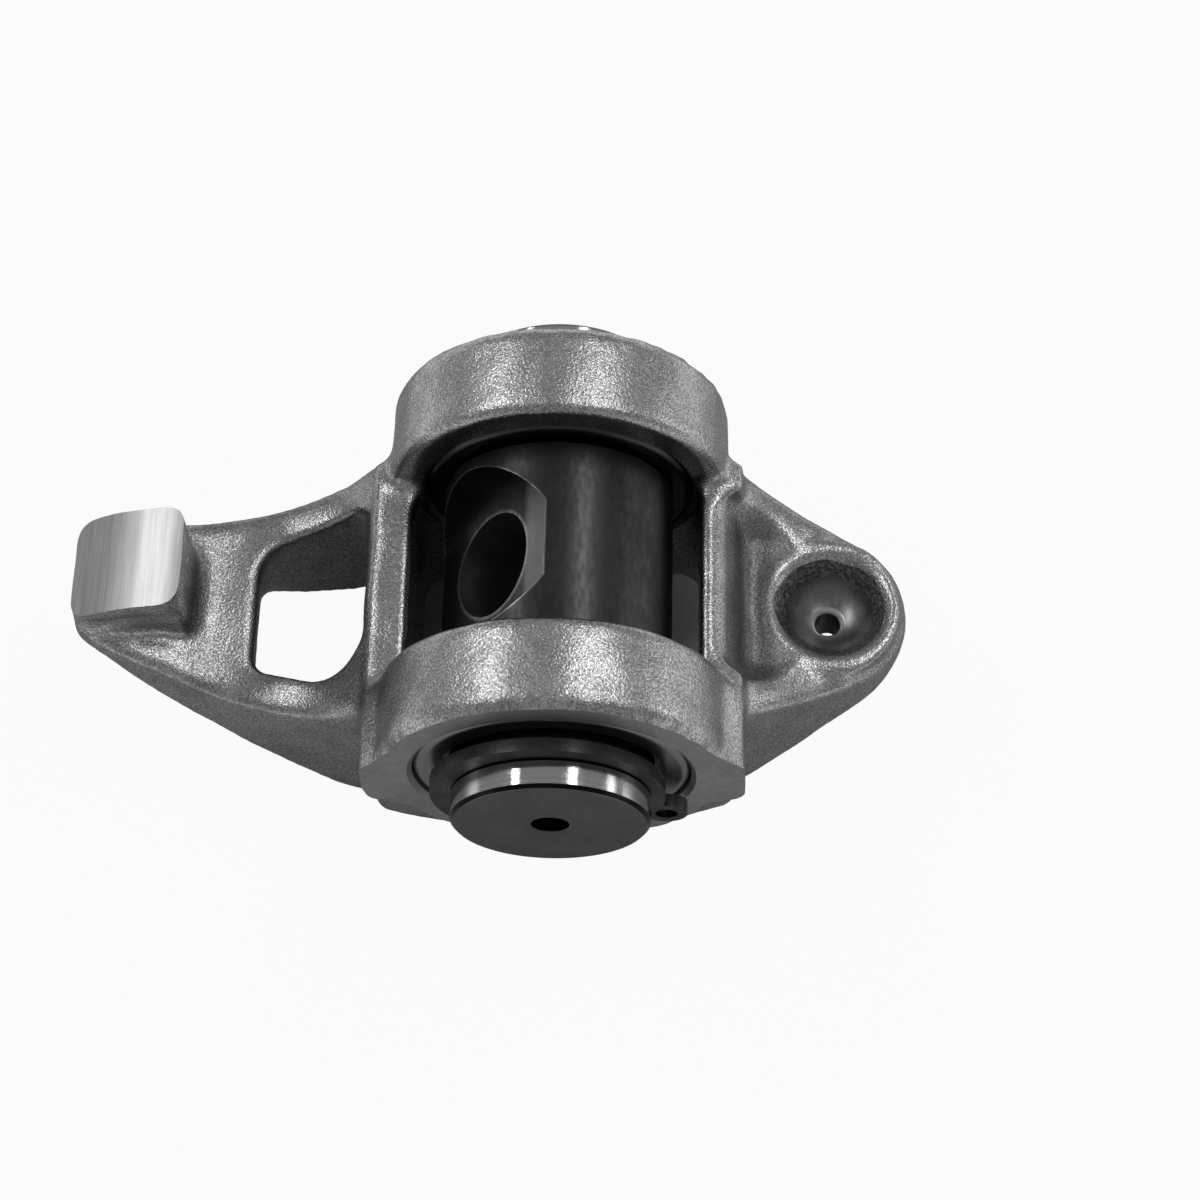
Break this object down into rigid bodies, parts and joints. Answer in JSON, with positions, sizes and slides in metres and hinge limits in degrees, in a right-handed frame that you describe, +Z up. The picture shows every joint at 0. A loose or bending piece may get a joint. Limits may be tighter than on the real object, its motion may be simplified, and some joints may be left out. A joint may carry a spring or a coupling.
{
  "type": "rocker arm",
  "caption": "Cast steel rocker arm for a pushrod engine, with a needle-bearing trunnion, a ground valve pad, a pushrod cup and a screw hole through the trunnion.",
  "frame": {"origin": "middle of the trunnion axis, where the axis of the screw hole crosses it", "axes": "+X along the arm towards the pushrod cup, +Y along the trunnion, +Z up; the arm lies on its back, so the valve pad and the pushrod cup face up"},
  "size_m": [0.0647, 0.039, 0.0288],
  "materials": {
    "cast_steel": "as cast and blasted; pad, bores and boss faces ground",
    "black_oxide_steel": "turned and blackened; journals ground bright",
    "bearing_steel": "drawn and hardened, satin",
    "needle_steel": "ground and polished",
    "spring_steel": "stamped and blackened"
  },
  "bodies": {
    "arm": {"rocker_arm": "cast_steel", "bearing_cup_near": "bearing_steel", "bearing_cup_far": "bearing_steel"},
    "trunnion": {"trunnion": "black_oxide_steel", "circlip_near": "spring_steel", "circlip_far": "spring_steel"},
    "cage_near": {"needle_cage_near": "bearing_steel"},
    "needle_near_01": {"needle_near_01": "needle_steel"},
    "needle_near_02": {"needle_near_02": "needle_steel"},
    "needle_near_03": {"needle_near_03": "needle_steel"},
    "needle_near_04": {"needle_near_04": "needle_steel"},
    "needle_near_05": {"needle_near_05": "needle_steel"},
    "needle_near_06": {"needle_near_06": "needle_steel"},
    "needle_near_07": {"needle_near_07": "needle_steel"},
    "needle_near_08": {"needle_near_08": "needle_steel"},
    "needle_near_09": {"needle_near_09": "needle_steel"},
    "needle_near_10": {"needle_near_10": "needle_steel"},
    "needle_near_11": {"needle_near_11": "needle_steel"},
    "needle_near_12": {"needle_near_12": "needle_steel"},
    "needle_near_13": {"needle_near_13": "needle_steel"},
    "needle_near_14": {"needle_near_14": "needle_steel"},
    "needle_near_15": {"needle_near_15": "needle_steel"},
    "needle_near_16": {"needle_near_16": "needle_steel"},
    "needle_near_17": {"needle_near_17": "needle_steel"},
    "needle_near_18": {"needle_near_18": "needle_steel"},
    "cage_far": {"needle_cage_far": "bearing_steel"},
    "needle_far_01": {"needle_far_01": "needle_steel"},
    "needle_far_02": {"needle_far_02": "needle_steel"},
    "needle_far_03": {"needle_far_03": "needle_steel"},
    "needle_far_04": {"needle_far_04": "needle_steel"},
    "needle_far_05": {"needle_far_05": "needle_steel"},
    "needle_far_06": {"needle_far_06": "needle_steel"},
    "needle_far_07": {"needle_far_07": "needle_steel"},
    "needle_far_08": {"needle_far_08": "needle_steel"},
    "needle_far_09": {"needle_far_09": "needle_steel"},
    "needle_far_10": {"needle_far_10": "needle_steel"},
    "needle_far_11": {"needle_far_11": "needle_steel"},
    "needle_far_12": {"needle_far_12": "needle_steel"},
    "needle_far_13": {"needle_far_13": "needle_steel"},
    "needle_far_14": {"needle_far_14": "needle_steel"},
    "needle_far_15": {"needle_far_15": "needle_steel"},
    "needle_far_16": {"needle_far_16": "needle_steel"},
    "needle_far_17": {"needle_far_17": "needle_steel"},
    "needle_far_18": {"needle_far_18": "needle_steel"}
  },
  "joints": [
    {"name": "trunnion_turn", "type": "hinge", "parent": "arm", "child": "trunnion", "pos_m": [0, 0, 0], "axis": [0, 1, 0], "continuous": true},
    {"name": "cage_near_turn", "type": "hinge", "parent": "arm", "child": "cage_near", "pos_m": [0, -0.01185, 0], "axis": [0, 1, 0], "continuous": true},
    {"name": "needle_near_01_spin", "type": "hinge", "parent": "cage_near", "child": "needle_near_01", "pos_m": [0.00851, -0.01185, 0], "axis": [0, 1, 0], "continuous": true},
    {"name": "needle_near_02_spin", "type": "hinge", "parent": "cage_near", "child": "needle_near_02", "pos_m": [0.008, -0.01185, 0.00291], "axis": [0, 1, 0], "continuous": true},
    {"name": "needle_near_03_spin", "type": "hinge", "parent": "cage_near", "child": "needle_near_03", "pos_m": [0.00652, -0.01185, 0.00547], "axis": [0, 1, 0], "continuous": true},
    {"name": "needle_near_04_spin", "type": "hinge", "parent": "cage_near", "child": "needle_near_04", "pos_m": [0.00426, -0.01185, 0.00737], "axis": [0, 1, 0], "continuous": true},
    {"name": "needle_near_05_spin", "type": "hinge", "parent": "cage_near", "child": "needle_near_05", "pos_m": [0.00148, -0.01185, 0.00839], "axis": [0, 1, 0], "continuous": true},
    {"name": "needle_near_06_spin", "type": "hinge", "parent": "cage_near", "child": "needle_near_06", "pos_m": [-0.00148, -0.01185, 0.00839], "axis": [0, 1, 0], "continuous": true},
    {"name": "needle_near_07_spin", "type": "hinge", "parent": "cage_near", "child": "needle_near_07", "pos_m": [-0.00426, -0.01185, 0.00737], "axis": [0, 1, 0], "continuous": true},
    {"name": "needle_near_08_spin", "type": "hinge", "parent": "cage_near", "child": "needle_near_08", "pos_m": [-0.00652, -0.01185, 0.00547], "axis": [0, 1, 0], "continuous": true},
    {"name": "needle_near_09_spin", "type": "hinge", "parent": "cage_near", "child": "needle_near_09", "pos_m": [-0.008, -0.01185, 0.00291], "axis": [0, 1, 0], "continuous": true},
    {"name": "needle_near_10_spin", "type": "hinge", "parent": "cage_near", "child": "needle_near_10", "pos_m": [-0.00851, -0.01185, 0], "axis": [0, 1, 0], "continuous": true},
    {"name": "needle_near_11_spin", "type": "hinge", "parent": "cage_near", "child": "needle_near_11", "pos_m": [-0.008, -0.01185, -0.00291], "axis": [0, 1, 0], "continuous": true},
    {"name": "needle_near_12_spin", "type": "hinge", "parent": "cage_near", "child": "needle_near_12", "pos_m": [-0.00652, -0.01185, -0.00547], "axis": [0, 1, 0], "continuous": true},
    {"name": "needle_near_13_spin", "type": "hinge", "parent": "cage_near", "child": "needle_near_13", "pos_m": [-0.00426, -0.01185, -0.00737], "axis": [0, 1, 0], "continuous": true},
    {"name": "needle_near_14_spin", "type": "hinge", "parent": "cage_near", "child": "needle_near_14", "pos_m": [-0.00148, -0.01185, -0.00839], "axis": [0, 1, 0], "continuous": true},
    {"name": "needle_near_15_spin", "type": "hinge", "parent": "cage_near", "child": "needle_near_15", "pos_m": [0.00148, -0.01185, -0.00839], "axis": [0, 1, 0], "continuous": true},
    {"name": "needle_near_16_spin", "type": "hinge", "parent": "cage_near", "child": "needle_near_16", "pos_m": [0.00426, -0.01185, -0.00737], "axis": [0, 1, 0], "continuous": true},
    {"name": "needle_near_17_spin", "type": "hinge", "parent": "cage_near", "child": "needle_near_17", "pos_m": [0.00652, -0.01185, -0.00547], "axis": [0, 1, 0], "continuous": true},
    {"name": "needle_near_18_spin", "type": "hinge", "parent": "cage_near", "child": "needle_near_18", "pos_m": [0.008, -0.01185, -0.00291], "axis": [0, 1, 0], "continuous": true},
    {"name": "cage_far_turn", "type": "hinge", "parent": "arm", "child": "cage_far", "pos_m": [0, 0.01185, 0], "axis": [0, 1, 0], "continuous": true},
    {"name": "needle_far_01_spin", "type": "hinge", "parent": "cage_far", "child": "needle_far_01", "pos_m": [0.00851, 0.01185, 0], "axis": [0, 1, 0], "continuous": true},
    {"name": "needle_far_02_spin", "type": "hinge", "parent": "cage_far", "child": "needle_far_02", "pos_m": [0.008, 0.01185, 0.00291], "axis": [0, 1, 0], "continuous": true},
    {"name": "needle_far_03_spin", "type": "hinge", "parent": "cage_far", "child": "needle_far_03", "pos_m": [0.00652, 0.01185, 0.00547], "axis": [0, 1, 0], "continuous": true},
    {"name": "needle_far_04_spin", "type": "hinge", "parent": "cage_far", "child": "needle_far_04", "pos_m": [0.00426, 0.01185, 0.00737], "axis": [0, 1, 0], "continuous": true},
    {"name": "needle_far_05_spin", "type": "hinge", "parent": "cage_far", "child": "needle_far_05", "pos_m": [0.00148, 0.01185, 0.00839], "axis": [0, 1, 0], "continuous": true},
    {"name": "needle_far_06_spin", "type": "hinge", "parent": "cage_far", "child": "needle_far_06", "pos_m": [-0.00148, 0.01185, 0.00839], "axis": [0, 1, 0], "continuous": true},
    {"name": "needle_far_07_spin", "type": "hinge", "parent": "cage_far", "child": "needle_far_07", "pos_m": [-0.00426, 0.01185, 0.00737], "axis": [0, 1, 0], "continuous": true},
    {"name": "needle_far_08_spin", "type": "hinge", "parent": "cage_far", "child": "needle_far_08", "pos_m": [-0.00652, 0.01185, 0.00547], "axis": [0, 1, 0], "continuous": true},
    {"name": "needle_far_09_spin", "type": "hinge", "parent": "cage_far", "child": "needle_far_09", "pos_m": [-0.008, 0.01185, 0.00291], "axis": [0, 1, 0], "continuous": true},
    {"name": "needle_far_10_spin", "type": "hinge", "parent": "cage_far", "child": "needle_far_10", "pos_m": [-0.00851, 0.01185, 0], "axis": [0, 1, 0], "continuous": true},
    {"name": "needle_far_11_spin", "type": "hinge", "parent": "cage_far", "child": "needle_far_11", "pos_m": [-0.008, 0.01185, -0.00291], "axis": [0, 1, 0], "continuous": true},
    {"name": "needle_far_12_spin", "type": "hinge", "parent": "cage_far", "child": "needle_far_12", "pos_m": [-0.00652, 0.01185, -0.00547], "axis": [0, 1, 0], "continuous": true},
    {"name": "needle_far_13_spin", "type": "hinge", "parent": "cage_far", "child": "needle_far_13", "pos_m": [-0.00426, 0.01185, -0.00737], "axis": [0, 1, 0], "continuous": true},
    {"name": "needle_far_14_spin", "type": "hinge", "parent": "cage_far", "child": "needle_far_14", "pos_m": [-0.00148, 0.01185, -0.00839], "axis": [0, 1, 0], "continuous": true},
    {"name": "needle_far_15_spin", "type": "hinge", "parent": "cage_far", "child": "needle_far_15", "pos_m": [0.00148, 0.01185, -0.00839], "axis": [0, 1, 0], "continuous": true},
    {"name": "needle_far_16_spin", "type": "hinge", "parent": "cage_far", "child": "needle_far_16", "pos_m": [0.00426, 0.01185, -0.00737], "axis": [0, 1, 0], "continuous": true},
    {"name": "needle_far_17_spin", "type": "hinge", "parent": "cage_far", "child": "needle_far_17", "pos_m": [0.00652, 0.01185, -0.00547], "axis": [0, 1, 0], "continuous": true},
    {"name": "needle_far_18_spin", "type": "hinge", "parent": "cage_far", "child": "needle_far_18", "pos_m": [0.008, 0.01185, -0.00291], "axis": [0, 1, 0], "continuous": true}
  ],
  "couplings": [
    {"joint": "cage_near_turn", "follows": "trunnion_turn", "ratio": 0.44118},
    {"joint": "needle_near_01_spin", "follows": "trunnion_turn", "ratio": -4.1912},
    {"joint": "needle_near_02_spin", "follows": "trunnion_turn", "ratio": -4.1912},
    {"joint": "needle_near_03_spin", "follows": "trunnion_turn", "ratio": -4.1912},
    {"joint": "needle_near_04_spin", "follows": "trunnion_turn", "ratio": -4.1912},
    {"joint": "needle_near_05_spin", "follows": "trunnion_turn", "ratio": -4.1912},
    {"joint": "needle_near_06_spin", "follows": "trunnion_turn", "ratio": -4.1912},
    {"joint": "needle_near_07_spin", "follows": "trunnion_turn", "ratio": -4.1912},
    {"joint": "needle_near_08_spin", "follows": "trunnion_turn", "ratio": -4.1912},
    {"joint": "needle_near_09_spin", "follows": "trunnion_turn", "ratio": -4.1912},
    {"joint": "needle_near_10_spin", "follows": "trunnion_turn", "ratio": -4.1912},
    {"joint": "needle_near_11_spin", "follows": "trunnion_turn", "ratio": -4.1912},
    {"joint": "needle_near_12_spin", "follows": "trunnion_turn", "ratio": -4.1912},
    {"joint": "needle_near_13_spin", "follows": "trunnion_turn", "ratio": -4.1912},
    {"joint": "needle_near_14_spin", "follows": "trunnion_turn", "ratio": -4.1912},
    {"joint": "needle_near_15_spin", "follows": "trunnion_turn", "ratio": -4.1912},
    {"joint": "needle_near_16_spin", "follows": "trunnion_turn", "ratio": -4.1912},
    {"joint": "needle_near_17_spin", "follows": "trunnion_turn", "ratio": -4.1912},
    {"joint": "needle_near_18_spin", "follows": "trunnion_turn", "ratio": -4.1912},
    {"joint": "cage_far_turn", "follows": "trunnion_turn", "ratio": 0.44118},
    {"joint": "needle_far_01_spin", "follows": "trunnion_turn", "ratio": -4.1912},
    {"joint": "needle_far_02_spin", "follows": "trunnion_turn", "ratio": -4.1912},
    {"joint": "needle_far_03_spin", "follows": "trunnion_turn", "ratio": -4.1912},
    {"joint": "needle_far_04_spin", "follows": "trunnion_turn", "ratio": -4.1912},
    {"joint": "needle_far_05_spin", "follows": "trunnion_turn", "ratio": -4.1912},
    {"joint": "needle_far_06_spin", "follows": "trunnion_turn", "ratio": -4.1912},
    {"joint": "needle_far_07_spin", "follows": "trunnion_turn", "ratio": -4.1912},
    {"joint": "needle_far_08_spin", "follows": "trunnion_turn", "ratio": -4.1912},
    {"joint": "needle_far_09_spin", "follows": "trunnion_turn", "ratio": -4.1912},
    {"joint": "needle_far_10_spin", "follows": "trunnion_turn", "ratio": -4.1912},
    {"joint": "needle_far_11_spin", "follows": "trunnion_turn", "ratio": -4.1912},
    {"joint": "needle_far_12_spin", "follows": "trunnion_turn", "ratio": -4.1912},
    {"joint": "needle_far_13_spin", "follows": "trunnion_turn", "ratio": -4.1912},
    {"joint": "needle_far_14_spin", "follows": "trunnion_turn", "ratio": -4.1912},
    {"joint": "needle_far_15_spin", "follows": "trunnion_turn", "ratio": -4.1912},
    {"joint": "needle_far_16_spin", "follows": "trunnion_turn", "ratio": -4.1912},
    {"joint": "needle_far_17_spin", "follows": "trunnion_turn", "ratio": -4.1912},
    {"joint": "needle_far_18_spin", "follows": "trunnion_turn", "ratio": -4.1912}
  ]
}
